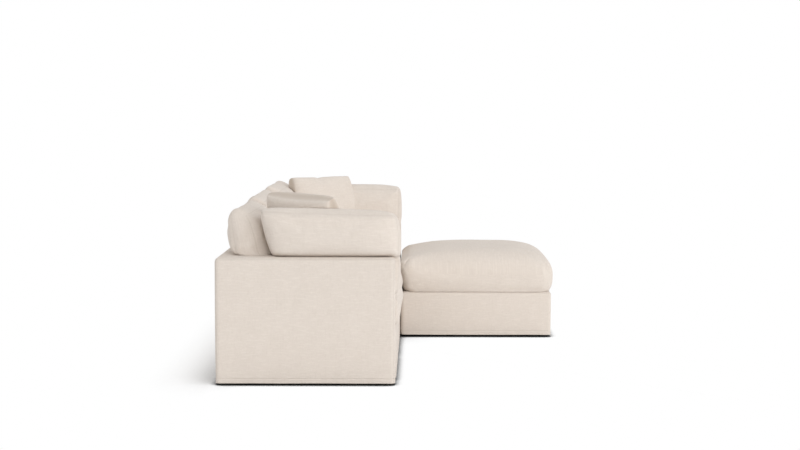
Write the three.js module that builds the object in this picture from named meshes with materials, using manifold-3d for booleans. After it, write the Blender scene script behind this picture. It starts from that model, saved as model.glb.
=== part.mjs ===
import * as THREE from "three";
import { mergeVertices } from "three/addons/utils/BufferGeometryUtils.js";
import Module from "manifold-3d";

// A slipcovered sofa of three joined modules, with an ottoman before its right end as the chaise.
// Millimetres. The seats face -Y, +X runs along the back, +Z is up and the floor is z = 0.
// Left and right are those of someone who stands before the sofa and looks at it.

// Driving dimensions
const seatWidth = 790;
const moduleDepth = 940;
const panelThickness = 150;
const panelHeight = 669;
const baseHeight = 285;
const ottomanWidth = 940;
const ottomanDepth = 940;
const ottomanGap = 12;
const hemClearance = 16;

// Covers and the layers under them
const fabricWall = 6;
const fitGap = 0.3;
const panelRadius = 25;
const baseRadius = 18;
const deckThickness = 20;
const webbingThickness = 3;
const strapWidth = 55;
const strapSpacing = 160;
const railThickness = 28;
const crossRailThickness = 24;
const widestCell = 240;
const cornerBlock = 125;
const dustThickness = 1.2;
const cutOverrun = 5;

// Feet and the clips that join the modules
const footHeight = 19.7;
const footDiameter = 42;
const footSides = 12;
const footTaper = 3;
const footInset = 92;
const rearPanelFootInset = 182;
const clipWidth = 120;
const clipReach = 70;
const clipThickness = 2.5;
const clipBend = 12;

// Loose cushions: the boxing is the band between the two faces, and the crown is the swell of a
// face. The lower a fullness, the more of the face stands at the height of its crown.
const seatBoxing = 165;
const seatEdge = 48;
const seatCrown = 78;
const seatFullness = 0.5;
const seatDraw = 7;
const seatFrontSwell = 20;
const pressedSwell = 3;
const cornerSwellShare = 0.5;
const ottomanBoxing = 168;
const ottomanEdge = 62;
const ottomanCrown = 112;
const ottomanFullness = 0.6;
const ottomanOverhang = 12;
const ottomanDraw = 8;
const backBoxing = 130;
const backTop = 908;
const backEdge = 50;
const backFrontCrown = 72;
const backRearCrown = 12;
const backTopSwell = 12;
const backLean = 124;
const endSwell = 17;
const sideBoxing = 130;
const sideTop = 900;
const sideEdge = 50;
const sideInnerCrown = 34;
const sideOuterCrown = 36;
const sideTopSwell = 14;
const sideLean = 76;
const sideFrontReach = 19;
const sideRearClearance = 3;
const sideFrontClearance = 2;
const endDraw = 6;
const pillowSize = 470;
const pillowThickness = 150;
const pillowWelt = 5;
const pillowDraw = 26;
const pillowFullness = 0.55;
const pillowCells = 8;
// A pillow's middle: out from the side panel, forward from the back panel and up from the seat
const leftPillow = { out: 176, forward: 325, up: 292, yaw: 40, tilt: 11 };
const rightPillow = { out: 176, forward: 310, up: 278, yaw: 37, tilt: 11 };

const seatDepth = moduleDepth - panelThickness;
const roundStopShare = 2 - Math.SQRT2;
const mergeDistance = 1e-3;
const seatCushionTop = baseHeight + fitGap + seatBoxing;

const wasm = await Module();
wasm.setup();

function finish(color, roughness, metalness = 0) {
  return new THREE.MeshStandardMaterial({ color, roughness, metalness });
}

const linen = () => finish(0xded3c5, 0.95);
const timber = () => finish(0xc9a878, 0.7);
const foam = () => finish(0xece2c6, 0.95);
const webbing = () => finish(0x9a8360, 0.85);
const dustCloth = () => finish(0x24221f, 0.95);
const blackPlastic = () => finish(0x1d1c1b, 0.55);
const steel = () => finish(0x8d8f91, 0.4, 0.9);

function addPiece(group, name, geometry, material) {
  const mesh = new THREE.Mesh(geometry, material);
  mesh.name = name;
  group.add(mesh);
}

// Booleans
function solidOf(geometry) {
  const bare = new THREE.BufferGeometry();
  const source = geometry.index ? geometry.toNonIndexed() : geometry;
  bare.setAttribute("position", source.getAttribute("position").clone());
  const merged = mergeVertices(bare, mergeDistance);
  return new wasm.Manifold(
    new wasm.Mesh({
      numProp: 3,
      vertProperties: merged.attributes.position.array,
      triVerts: new Uint32Array(merged.index.array),
    }),
  );
}

function geometryOf(solid) {
  const mesh = solid.getMesh();
  const geometry = new THREE.BufferGeometry();
  geometry.setAttribute("position", new THREE.BufferAttribute(mesh.vertProperties, 3));
  geometry.setIndex(new THREE.BufferAttribute(mesh.triVerts, 1));
  geometry.computeVertexNormals();
  return geometry;
}

function cut(geometry, ...tools) {
  return geometryOf(tools.reduce((rest, tool) => rest.subtract(solidOf(tool)), solidOf(geometry)));
}

function join(geometry, ...others) {
  return geometryOf(others.reduce((sum, other) => sum.add(solidOf(other)), solidOf(geometry)));
}

// A copy that stands gap further out on every side of its bounding box
function grown(geometry, gap) {
  const copy = geometry.clone();
  copy.computeBoundingBox();
  const centre = copy.boundingBox.getCenter(new THREE.Vector3());
  const size = copy.boundingBox.getSize(new THREE.Vector3());
  copy.translate(-centre.x, -centre.y, -centre.z);
  copy.scale(1 + (2 * gap) / size.x, 1 + (2 * gap) / size.y, 1 + (2 * gap) / size.z);
  copy.translate(centre.x, centre.y, centre.z);
  return copy;
}

// A closed block of quads. Its lattice lines stand at the stops, and shape moves each lattice point.
function lattice(stops, shape) {
  const last = stops.map((list) => list.length - 1);
  const numbers = new Map();
  const positions = [];
  const indices = [];
  const number = (i, j, k) => {
    const key = `${i},${j},${k}`;
    if (!numbers.has(key)) {
      numbers.set(key, positions.length / 3);
      positions.push(...shape(stops[0][i], stops[1][j], stops[2][k]));
    }
    return numbers.get(key);
  };
  const quad = (a, b, c, d) => indices.push(a, b, c, a, c, d);
  for (let i = 0; i < last[0]; i++)
    for (let j = 0; j < last[1]; j++) {
      quad(number(i, j, 0), number(i, j + 1, 0), number(i + 1, j + 1, 0), number(i + 1, j, 0));
      const k = last[2];
      quad(number(i, j, k), number(i + 1, j, k), number(i + 1, j + 1, k), number(i, j + 1, k));
    }
  for (let i = 0; i < last[0]; i++)
    for (let k = 0; k < last[2]; k++) {
      quad(number(i, 0, k), number(i + 1, 0, k), number(i + 1, 0, k + 1), number(i, 0, k + 1));
      const j = last[1];
      quad(number(i, j, k), number(i, j, k + 1), number(i + 1, j, k + 1), number(i + 1, j, k));
    }
  for (let j = 0; j < last[1]; j++)
    for (let k = 0; k < last[2]; k++) {
      quad(number(0, j, k), number(0, j, k + 1), number(0, j + 1, k + 1), number(0, j + 1, k));
      const i = last[0];
      quad(number(i, j, k), number(i, j + 1, k), number(i, j + 1, k + 1), number(i, j, k + 1));
    }
  const geometry = new THREE.BufferGeometry();
  geometry.setAttribute("position", new THREE.Float32BufferAttribute(positions, 3));
  geometry.setIndex(indices);
  return facingOut(geometry);
}

// Turns every face round where a mirrored shape has turned the block inside out.
function facingOut(geometry) {
  const index = geometry.index.array;
  const corner = [0, 1, 2].map(() => new THREE.Vector3());
  let volume = 0;
  for (let i = 0; i < index.length; i += 3) {
    corner.forEach((point, n) => point.fromBufferAttribute(geometry.attributes.position, index[i + n]));
    volume += corner[0].dot(corner[1].clone().cross(corner[2]));
  }
  if (volume < 0)
    for (let i = 0; i < index.length; i += 3) [index[i + 1], index[i + 2]] = [index[i + 2], index[i + 1]];
  geometry.computeVertexNormals();
  return geometry;
}

// Lattice lines from low to high, evenly spaced between the rounded edges. A fine edge is an arc of
// four chords, and any other an arc of two.
function edgeStops(low, high, radius, roundLow, lines, fine) {
  const start = roundLow ? low + radius : low;
  const end = high - radius;
  const stops = roundLow ? [low, low + roundStopShare * radius] : [];
  for (let n = 0; n <= lines; n++) stops.push(start + ((end - start) * n) / lines);
  stops.push(high - roundStopShare * radius, high);
  return fine ? stops : stops.filter((_, n) => !(roundLow && n === 1) && n !== stops.length - 2);
}

// Draws a lattice point in onto the rounded edges of the block from low to high.
function rounded(point, low, high, radius, roundBottom) {
  const core = point.map((value, axis) => {
    const floor = axis === 2 && !roundBottom ? value : low[axis] + radius;
    return Math.min(Math.max(value, floor), high[axis] - radius);
  });
  const reach = point.map((value, axis) => value - core[axis]);
  const length = Math.hypot(...reach);
  if (length === 0) return point;
  const scale = Math.max(...reach.map(Math.abs)) / length;
  return core.map((value, axis) => value + reach[axis] * scale);
}

// A block with its upright and top edges rounded and its bottom square
function roundedBlock(low, high, radius, fine = false) {
  const stops = [0, 1, 2].map((axis) => edgeStops(low[axis], high[axis], radius, axis < 2, 1, fine));
  return lattice(stops, (x, y, z) => rounded([x, y, z], low, high, radius, false));
}

// A flat sheet or frame with rounded corners and rectangular holes
function plate(low, high, radius, z, thickness, holes = []) {
  const outline = new THREE.Shape();
  const quarter = Math.PI / 2;
  outline.absarc(high[0] - radius, high[1] - radius, radius, 0, quarter, false);
  outline.absarc(low[0] + radius, high[1] - radius, radius, quarter, 2 * quarter, false);
  outline.absarc(low[0] + radius, low[1] + radius, radius, 2 * quarter, 3 * quarter, false);
  outline.absarc(high[0] - radius, low[1] + radius, radius, 3 * quarter, 4 * quarter, false);
  const settings = { depth: thickness, bevelEnabled: false, curveSegments: 1 };
  const sheet = new THREE.ExtrudeGeometry(outline, settings).translate(0, 0, z);
  const tools = holes.map(([x0, x1, y0, y1]) =>
    block([x0, y0, z - cutOverrun], [x1, y1, z + thickness + cutOverrun]),
  );
  return tools.length ? cut(sheet, ...tools) : sheet;
}

function block(low, high) {
  const size = high.map((value, axis) => value - low[axis]);
  const geometry = new THREE.BoxGeometry(...size);
  return geometry.translate(...low.map((value, axis) => value + size[axis] / 2));
}

// Even cells between bars along one direction, as the stretches that the bars leave open
function cells(low, high, border, bar, count) {
  const open = (high - low - 2 * border - (count - 1) * bar) / count;
  const list = [];
  for (let n = 0; n < count; n++) {
    const start = low + border + n * (open + bar);
    list.push([start, start + open]);
  }
  return list;
}

function gridHoles(low, high, border, bar, pitch) {
  const [alongX, alongY] = [0, 1].map((axis) => {
    const span = high[axis] - low[axis] - 2 * border;
    return cells(low[axis], high[axis], border, bar, Math.ceil((span + bar) / (pitch + bar)));
  });
  return alongX.flatMap(([x0, x1]) => alongY.map(([y0, y1]) => [x0, x1, y0, y1]));
}

const inset = (corner, distance) => corner.map((value) => value + distance);

// A seat base: cover, deck pad, webbing, frame and dust cover, nested in one footprint
function addBase(group, prefix, low, high) {
  const coverLow = [...inset(low, fitGap / 2), hemClearance];
  const coverHigh = [...inset(high, -fitGap / 2), baseHeight];
  const hollowLow = [...inset(coverLow.slice(0, 2), fabricWall), hemClearance - cutOverrun];
  const hollowHigh = inset(coverHigh, -fabricWall);
  const hollow = roundedBlock(hollowLow, hollowHigh, baseRadius - fabricWall);
  const cover = cut(roundedBlock(coverLow, coverHigh, baseRadius, true), hollow);
  addPiece(group, `${prefix}_base_cover`, cover, linen());

  const radius = baseRadius - fabricWall - fitGap;
  const innerLow = inset(hollowLow.slice(0, 2), fitGap);
  const innerHigh = inset(hollowHigh.slice(0, 2), -fitGap);
  const deckTop = hollowHigh[2] - fitGap;
  const deckBottom = deckTop - deckThickness;
  const deck = roundedBlock([...innerLow, deckBottom], [...innerHigh, deckTop], radius);
  addPiece(group, `${prefix}_deck_pad`, deck, foam());

  const webbingBottom = deckBottom - fitGap - webbingThickness;
  const strapHoles = gridHoles(innerLow, innerHigh, strapWidth, strapWidth, strapSpacing);
  const straps = plate(innerLow, innerHigh, radius, webbingBottom, webbingThickness, strapHoles);
  addPiece(group, `${prefix}_webbing`, straps, webbing());

  const dustBottom = footHeight + fitGap;
  const dust = plate(innerLow, innerHigh, radius, dustBottom, dustThickness);
  addPiece(group, `${prefix}_dust_cover`, dust, dustCloth());

  const frameBottom = dustBottom + dustThickness + fitGap;
  const frameTop = webbingBottom - fitGap;
  const frameHoles = gridHoles(innerLow, innerHigh, railThickness, crossRailThickness, widestCell);
  const rails = plate(innerLow, innerHigh, radius, frameBottom, frameTop - frameBottom, frameHoles);
  const outerX = [innerLow[0] + radius, innerHigh[0] - radius];
  const outerY = [innerLow[1] + radius, innerHigh[1] - radius];
  const blocks = outerX.flatMap((x, i) =>
    outerY.map((y, j) => {
      const far = [x + (i ? -cornerBlock : cornerBlock), y + (j ? -cornerBlock : cornerBlock)];
      return block(
        [Math.min(x, far[0]), Math.min(y, far[1]), frameBottom],
        [Math.max(x, far[0]), Math.max(y, far[1]), frameBottom + railThickness],
      );
    }),
  );
  addPiece(group, `${prefix}_seat_frame`, join(rails, ...blocks), timber());
}

// An upright panel: its padded core, and the cover that drops over it
function addPanel(group, prefix, low, high) {
  const coverLow = [...low, hemClearance];
  const coverHigh = [...high, panelHeight];
  const hollowLow = [...inset(low, fabricWall), hemClearance - cutOverrun];
  const hollowHigh = inset(coverHigh, -fabricWall);
  const hollow = roundedBlock(hollowLow, hollowHigh, panelRadius - fabricWall);
  const cover = cut(roundedBlock(coverLow, coverHigh, panelRadius, true), hollow);
  addPiece(group, `${prefix}_cover`, cover, linen());
  const coreLow = [...inset(hollowLow.slice(0, 2), fitGap), footHeight + fitGap];
  const core = roundedBlock(coreLow, inset(hollowHigh, -fitGap), panelRadius - fabricWall - fitGap);
  addPiece(group, `${prefix}_core`, core, foam());
}

function addFeet(group, prefix, places) {
  places.forEach(([x, y], n) => {
    const top = footDiameter / 2;
    const foot = new THREE.CylinderGeometry(top, top - footTaper, footHeight, footSides);
    foot.rotateX(Math.PI / 2).translate(x, y, footHeight / 2);
    addPiece(group, `${prefix}_foot_${n + 1}`, foot, blackPlastic());
  });
}

// A steel strap that dips under the two hems and screws up into both frames
function addClip(group, name, x, y) {
  const rest = footHeight - fitGap;
  const dip = hemClearance - fitGap - clipThickness;
  const half = fabricWall + 2 * fitGap;
  const profile = [
    [-half, dip],
    [half, dip],
    [half + clipBend, rest - clipThickness],
    [clipReach, rest - clipThickness],
    [clipReach, rest],
    [half + clipBend, rest],
    [half, dip + clipThickness],
    [-half, dip + clipThickness],
    [-half - clipBend, rest],
    [-clipReach, rest],
    [-clipReach, rest - clipThickness],
    [-half - clipBend, rest - clipThickness],
  ];
  const outline = new THREE.Shape(profile.map(([a, b]) => new THREE.Vector2(a, b)));
  const strap = new THREE.ExtrudeGeometry(outline, { depth: clipWidth, bevelEnabled: false });
  strap.rotateX(Math.PI / 2).translate(x, y + clipWidth / 2, 0);
  addPiece(group, name, strap, steel());
}

const hump = (t) => Math.max(0, 1 - t * t);

// A box cushion from low to high, its boxing along axis 2. Lines: cells between the rounded edges.
function boxCushion(low, high, edge, lines, shape) {
  const half = high.map((value, axis) => (value - low[axis]) / 2);
  const middle = high.map((value, axis) => (value + low[axis]) / 2);
  const stops = [0, 1, 2].map((axis) => edgeStops(low[axis], high[axis], edge, true, lines[axis], true));
  return lattice(stops, (...point) => {
    const soft = rounded(point, low, high, edge, true);
    return shape(soft, ...soft.map((value, axis) => (value - middle[axis]) / half[axis]));
  });
}

// A seat cushion: its open part swells up, its sides draw in and its front swells over the base.
function seatCushion(side, frontSwell) {
  const half = seatWidth / 2 - fitGap;
  const low = [-half, 0, baseHeight + fitGap];
  const high = [half, seatDepth - fitGap, seatCushionTop];
  const taken = sideBoxing * Math.abs(side);
  const openX = [-half + (side < 0 ? taken : 0), half - (side > 0 ? taken : 0)];
  const openY = [0, seatDepth - backBoxing];
  return boxCushion(low, high, seatEdge, [5, 5, 1], ([x, y, z], u, v, w) => {
    const a = (2 * x - openX[0] - openX[1]) / (openX[1] - openX[0]);
    const b = (2 * y - openY[0] - openY[1]) / (openY[1] - openY[0]);
    const rise = seatCrown * Math.pow(hump(a) * hump(b), seatFullness) * Math.max(0, w);
    const bulge = cornerSwellShare + (1 - cornerSwellShare) * hump(u);
    const forward = v < 0 ? frontSwell * v * v * hump(w) * bulge : 0;
    return [x - seatDraw * u * hump(v), y - forward, z + rise];
  });
}

// The ottoman's cushion is fuller and stands over its base on three sides.
function ottomanCushion(low, high) {
  return boxCushion(low, high, ottomanEdge, [5, 5, 1], ([x, y, z], u, v, w) => {
    const rise = ottomanCrown * Math.pow(hump(u) * hump(v), ottomanFullness) * Math.max(0, w);
    return [x - ottomanDraw * u * hump(v), y - ottomanDraw * v * hump(u), z + rise];
  });
}

// A cushion that stands on the seat and leans out over the top of a panel. Its own frame is
// [along the panel, up, out from the panel's inner face].
function leaningCushion(form) {
  const { start, end, top, boxing, edge, outerCrown, innerCrown, topSwell, lean, startSwell, stopSwell } = form;
  const low = [start, seatCushionTop + fitGap, 0];
  const high = [end, top, boxing];
  return boxCushion(low, high, edge, [5, 3, 1], ([a, b, c], u, v, w) => {
    const crown = Math.sqrt(hump(u) * hump(v));
    const out = w > 0 ? innerCrown * crown * w : outerCrown * crown * w;
    const ends = (u < 0 ? -startSwell : stopSwell) * u * u * hump(v);
    const height = (b - low[1]) / (high[1] - low[1]);
    const up = v > 0 ? topSwell * hump(u) * v : 0;
    return [a + ends, b + up, c + out - lean * height];
  });
}

const mapPoints = (geometry, place) => {
  const points = geometry.attributes.position;
  for (let n = 0; n < points.count; n++)
    points.setXYZ(n, ...place(points.getX(n), points.getY(n), points.getZ(n)));
  return facingOut(geometry);
};

// A square knife-edge pillow, standing on one edge in its own frame: width, height, thickness
function pillow() {
  const half = pillowSize / 2;
  const line = [];
  for (let n = 0; n <= pillowCells; n++) line.push(-Math.cos((Math.PI * n) / pillowCells));
  return lattice([line, line, [-1, 1]], (u, v, w) => {
    const fullness = Math.pow(hump(u) * hump(v), pillowFullness);
    const swell = (pillowThickness / 2 - pillowWelt) * fullness;
    return [
      half * u - pillowDraw * u * hump(v),
      half * v - pillowDraw * v * hump(u),
      w * (pillowWelt / 2 + swell),
    ];
  });
}

// Stands a pillow in the corner of its module, turned to face into the seat and tilted back.
function standPillow(side, { out, forward, up: rise, yaw, tilt }) {
  const turn = side * THREE.MathUtils.degToRad(yaw - 90);
  const facing = new THREE.Matrix4().makeRotationZ(turn);
  const leaning = new THREE.Matrix4().makeRotationX(-THREE.MathUtils.degToRad(tilt));
  const centre = [side * (seatWidth / 2 - out), seatDepth - forward, seatCushionTop + rise];
  const place = new THREE.Matrix4().makeTranslation(...centre);
  place.multiply(facing).multiply(leaning);
  const point = new THREE.Vector3();
  return mapPoints(pillow(), (width, up, thick) => {
    point.set(width, -thick, up).applyMatrix4(place);
    return [point.x, point.y, point.z];
  });
}

// One sofa module. side is -1 with a side panel on its left, 1 on its right, 0 with none.
function addModule(parent, prefix, side, centreX, frontSwell, pillowPlace) {
  const group = new THREE.Group();
  group.position.x = centreX;
  parent.add(group);
  const half = seatWidth / 2;
  addBase(group, prefix, [-half, 0], [half, seatDepth]);

  const backLow = [-half + fitGap / 2, seatDepth + fitGap / 2];
  const backHigh = [half - fitGap / 2, moduleDepth];
  addPanel(group, `${prefix}_back_panel`, backLow, backHigh);
  const inner = side * (half + fitGap / 2);
  const outer = side * (half + panelThickness);
  const sideLow = [Math.min(inner, outer), 0];
  const sideHigh = [Math.max(inner, outer), moduleDepth];
  if (side) addPanel(group, `${prefix}_side_panel`, sideLow, sideHigh);

  const clear = (low, high) => {
    const clearHigh = [...inset(high, fitGap), panelHeight + fitGap];
    return roundedBlock([...inset(low, -fitGap), hemClearance], clearHigh, panelRadius + fitGap, true);
  };
  const panels = [clear(backLow, backHigh), ...(side ? [clear(sideLow, sideHigh)] : [])];

  const seat = seatCushion(side, frontSwell);
  addPiece(group, `${prefix}_seat_cushion`, seat, linen());

  const back = leaningCushion({
    start: -half + fitGap,
    end: half - fitGap,
    top: backTop,
    boxing: backBoxing,
    edge: backEdge,
    outerCrown: backRearCrown,
    innerCrown: backFrontCrown,
    topSwell: backTopSwell,
    lean: backLean,
    startSwell: side < 0 ? endSwell : -endDraw,
    stopSwell: side > 0 ? endSwell : -endDraw,
  });
  mapPoints(back, (a, b, c) => [a, seatDepth - c, b]);
  const backCushion = cut(back, ...panels, grown(seat, fitGap));
  addPiece(group, `${prefix}_back_cushion`, backCushion, linen());

  const places = [-1, 1].flatMap((end) => {
    const panelEnd = end === side;
    const x = end * (half - footInset + (panelEnd ? panelThickness : 0));
    return [[x, footInset], [x, moduleDepth - (panelEnd ? rearPanelFootInset : footInset)]];
  });
  addFeet(group, prefix, places);
  if (!side) return;

  const rearAtFoot = seatDepth - backBoxing - backFrontCrown - sideRearClearance;
  const sideCushion = leaningCushion({
    start: 0,
    end: rearAtFoot,
    top: sideTop,
    boxing: sideBoxing,
    edge: sideEdge,
    outerCrown: sideOuterCrown,
    innerCrown: sideInnerCrown,
    topSwell: sideTopSwell,
    lean: sideLean,
    startSwell: sideFrontReach,
    stopSwell: 0,
  });
  mapPoints(sideCushion, (a, b, c) => {
    const height = (b - seatCushionTop) / (backTop - seatCushionTop);
    return [side * (half - c), a + (Math.max(a, 0) / rearAtFoot) * backLean * height, b];
  });
  const cutSide = cut(sideCushion, ...panels, grown(seat, fitGap));
  addPiece(group, `${prefix}_side_cushion`, cutSide, linen());

  const throwPillow = standPillow(side, pillowPlace);
  const neighbours = [grown(seat, fitGap), grown(cutSide, fitGap), grown(backCushion, fitGap)];
  addPiece(group, `${prefix}_throw_pillow`, cut(throwPillow, ...neighbours), linen());
}

function addOttoman(parent) {
  const group = new THREE.Group();
  group.position.x = seatWidth / 2 + ottomanWidth / 2;
  parent.add(group);
  const low = [-ottomanWidth / 2, -ottomanGap - ottomanDepth];
  const high = [ottomanWidth / 2, -ottomanGap];
  addBase(group, "ottoman", low, high);
  const places = [low[0] + footInset, high[0] - footInset].flatMap((x) =>
    [low[1] + footInset, high[1] - footInset].map((y) => [x, y]),
  );
  addFeet(group, "ottoman", places);
  const bottom = baseHeight + fitGap;
  const cushionLow = [...inset(low, -ottomanOverhang), bottom];
  const rear = -sideFrontReach - sideFrontClearance;
  const cushionHigh = [high[0] + ottomanOverhang, rear, bottom + ottomanBoxing];
  addPiece(group, "ottoman_cushion", ottomanCushion(cushionLow, cushionHigh), linen());
}

const sofa = new THREE.Group();
addModule(sofa, "left", -1, -seatWidth, seatFrontSwell, leftPillow);
addModule(sofa, "middle", 0, 0, seatFrontSwell);
addModule(sofa, "right", 1, seatWidth, pressedSwell, rightPillow);
addOttoman(sofa);
addClip(sofa, "left_module_clip", -seatWidth / 2, seatDepth / 2);
addClip(sofa, "right_module_clip", seatWidth / 2, seatDepth / 2);

// The origin is on the floor under the middle of the whole sofa's bounding box.
const middle = new THREE.Box3().setFromObject(sofa).getCenter(new THREE.Vector3());
sofa.position.set(-middle.x, -middle.y, 0);

export default sofa;
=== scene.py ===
import math
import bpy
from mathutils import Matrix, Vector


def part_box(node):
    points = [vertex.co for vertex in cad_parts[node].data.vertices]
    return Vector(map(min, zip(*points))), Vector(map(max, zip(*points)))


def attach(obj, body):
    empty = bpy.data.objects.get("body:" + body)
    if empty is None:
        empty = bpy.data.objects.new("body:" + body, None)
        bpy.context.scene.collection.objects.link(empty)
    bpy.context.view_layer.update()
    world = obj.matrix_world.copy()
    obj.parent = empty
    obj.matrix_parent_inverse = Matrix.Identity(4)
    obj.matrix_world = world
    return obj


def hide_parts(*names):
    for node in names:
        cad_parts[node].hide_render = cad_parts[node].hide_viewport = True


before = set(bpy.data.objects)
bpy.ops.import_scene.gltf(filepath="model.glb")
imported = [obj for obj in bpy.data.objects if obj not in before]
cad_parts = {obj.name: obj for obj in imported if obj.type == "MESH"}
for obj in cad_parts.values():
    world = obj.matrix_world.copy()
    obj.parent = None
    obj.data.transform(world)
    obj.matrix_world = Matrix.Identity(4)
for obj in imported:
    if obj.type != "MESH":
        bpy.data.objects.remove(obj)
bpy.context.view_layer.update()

from types import SimpleNamespace

import bpy
import numpy as np
from mathutils import Vector, noise
from mathutils.bvhtree import BVHTree

scene = bpy.context.scene
scene.view_settings.view_transform = "Standard"


# The set: a white studio floor that runs out of sight, under a soft white sky. The camera stands
# beyond the sofa's left end at a person's eye height, with a long lens that looks along the seats.
# The floor's colour is painted with shade, grey near the sofa and dark under its hems, and it glows
# white again further off.
camera_place = (-9.478, -0.115, 1.468)
camera_pitch = math.radians(4.414)
camera_turn = math.radians(0.715)
lens_length = 71.2
floor_reach = 400.0
floor_near = 2.2
floor_far = 4.5
# Painted shade on the floor: the grey it takes near the sofa, and the near black just under the
# hems.
floor_shade = (0.32, 0.32, 0.32, 1.0)
floor_shade_reach = 0.40
floor_shade_range = (0.25, 0.80)
floor_contact_shade = (0.09, 0.09, 0.09, 1.0)
floor_contact_reach = 0.06
floor_contact_range = (0.52, 0.84)
floor_wash_range = (0.55, 0.97)
floor_back = 1.0
front_wash = 0.55
front_wash_rate = 4.0
shade_samples = 8
sky_strength = 0.76
white = (1.0, 1.0, 1.0, 1.0)


class Strand:
    """A value, colour or direction on its way through a finish. Sums on it add their nodes."""

    def __init__(self, tree, socket=None):
        self.tree = tree
        self.socket = socket

    def node(self, kind, settings=None, sockets=None, output=0):
        """Adds a node of that kind: first its settings, then its sockets' values or links.

        A ramp's setting is its two stops, each a place and a shade of grey.
        """
        made = self.tree.nodes.new(kind)
        for name, value in (settings or {}).items():
            if name == "stops":
                for stop, (place, shade) in zip(made.color_ramp.elements, value):
                    stop.position = place
                    stop.color = (shade, shade, shade, 1.0)
            else:
                setattr(made, name, value)
        for name, value in (sockets or {}).items():
            self.tie(value, made.inputs[name])
        return Strand(self.tree, made.outputs[output] if made.outputs else None)

    def tie(self, value, socket):
        if isinstance(value, Strand):
            self.tree.links.new(value.socket, socket)
        else:
            socket.default_value = value

    def sum(self, operation, *values, clamp=False):
        settings = {"operation": operation, "use_clamp": clamp}
        return self.node("ShaderNodeMath", settings, dict(enumerate(values)))

    def __add__(self, other):
        return self.sum("ADD", self, other)

    __radd__ = __add__

    def __sub__(self, other):
        return self.sum("SUBTRACT", self, other)

    def __rsub__(self, other):
        return self.sum("SUBTRACT", other, self)

    def __mul__(self, other):
        return self.sum("MULTIPLY", self, other)

    __rmul__ = __mul__

    def __pow__(self, other):
        return self.sum("POWER", self, other)

    def clamped(self):
        return self.sum("ADD", self, 0.0, clamp=True)

    def wave(self, length):
        """A sine of this value that repeats at that length."""
        return self.sum("SINE", self * (2 * math.pi / length))

    def place(self):
        """Where a point of the piece is, in metres."""
        return self.node("ShaderNodeTexCoord", output="Object")

    def stretched(self, scales):
        """A direction or place, each of its three parts times its own scale."""
        return self.node("ShaderNodeVectorMath", {"operation": "MULTIPLY"}, {0: self, 1: scales})

    def part(self, number):
        return self.node("ShaderNodeSeparateXYZ", {}, {0: self}, output=number)

    def fibres(self, scales, detail=2.0, roughness=0.5):
        """A noise over this place, with as many lumps in a metre of each direction as its scale."""
        sockets = {"Vector": self.stretched(scales), "Scale": 1.0, "Detail": detail}
        return self.node("ShaderNodeTexNoise", {}, {**sockets, "Roughness": roughness})

    def ramp(self, start, end):
        """0 up to start, 1 from end, and even between the two."""
        return self.node("ShaderNodeValToRGB", {"stops": [(start, 0.0), (end, 1.0)]}, {0: self})

    def mixed(self, first, second):
        """The first colour where this is 0 and the second where it is 1."""
        sockets = {0: self, 6: first, 7: second}
        return self.node("ShaderNodeMix", {"data_type": "RGBA"}, sockets, output=2)


def seen_straight(tree):
    """1 for the camera's rays and for what glass or metal shows, else 0."""
    kinds = ("Is Camera Ray", "Is Glossy Ray", "Is Transmission Ray")
    camera_ray, glossy, through = (
        Strand(tree).node("ShaderNodeLightPath", output=kind) for kind in kinds
    )
    return (camera_ray + glossy + through).clamped()


def open_share(start, reach):
    """How much of the air within that reach is open, from 0 to 1."""
    settings = {"samples": shade_samples}
    return start.node("ShaderNodeAmbientOcclusion", settings, {"Distance": reach}, output="AO")


sky = bpy.data.worlds.new("studio_sky")
scene.world = sky
sky.use_nodes = True
sky.node_tree.nodes.clear()
air = Strand(sky.node_tree)
plain_sky = air.node("ShaderNodeBackground", {}, {"Color": white, "Strength": 1.0})
lit_sky = air.node("ShaderNodeBackground", {}, {"Color": white, "Strength": sky_strength})
both_skies = {0: seen_straight(air.tree), 1: lit_sky, 2: plain_sky}
seen_sky = air.node("ShaderNodeMixShader", {}, both_skies)
air.node("ShaderNodeOutputWorld", {}, {"Surface": seen_sky})

floor_paint = bpy.data.materials.new("white_floor")
floor_paint.use_nodes = True
floor_paint.node_tree.nodes.clear()
paint = Strand(floor_paint.node_tree)
spot = paint.place()
distance = spot.node("ShaderNodeVectorMath", {"operation": "LENGTH"}, {0: spot}, output=1)
far_off = ((distance - floor_near) * (1.0 / (floor_far - floor_near))).clamped()
open_air = open_share(paint, floor_shade_reach)
clear_of_hem = open_share(paint, floor_contact_reach).ramp(*floor_contact_range)
in_front = ((floor_back - spot.part(1)) * front_wash_rate).clamped()
washed = (open_air + front_wash * in_front).ramp(*floor_wash_range) * clear_of_hem
glowing = ((far_off + washed) * seen_straight(paint.tree)).clamped()
# Painted shade: the floor's own colour darkens to grey where the sofa closes in the air round it,
# and to near black right at the hems.
near_shade = open_air.ramp(*floor_shade_range).mixed(floor_shade, white)
shaded = clear_of_hem.mixed(floor_contact_shade, near_shade)
matt = paint.node("ShaderNodeBsdfDiffuse", {}, {"Color": shaded})
glow = paint.node("ShaderNodeEmission", {}, {"Color": white, "Strength": 1.0})
floor_look = paint.node("ShaderNodeMixShader", {}, {0: glowing, 1: matt, 2: glow})
paint.node("ShaderNodeOutputMaterial", {}, {"Surface": floor_look})

floor_sheet = bpy.data.meshes.new("studio_floor")
floor_corners = [(x * floor_reach, y * floor_reach, 0)
                 for x, y in ((-1, -1), (1, -1), (1, 1), (-1, 1))]
floor_sheet.from_pydata(floor_corners, [], [(0, 1, 2, 3)])
floor = bpy.data.objects.new("studio_floor", floor_sheet)
floor_sheet.materials.append(floor_paint)
scene.collection.objects.link(floor)

camera = bpy.data.objects.new("camera", bpy.data.cameras.new("camera"))
camera.location = camera_place
camera.rotation_euler = (math.pi / 2 - camera_pitch, 0.0, camera_turn - math.pi / 2)
camera.data.lens = lens_length
camera.data.clip_end = floor_reach
scene.collection.objects.link(camera)
scene.camera = camera


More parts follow.
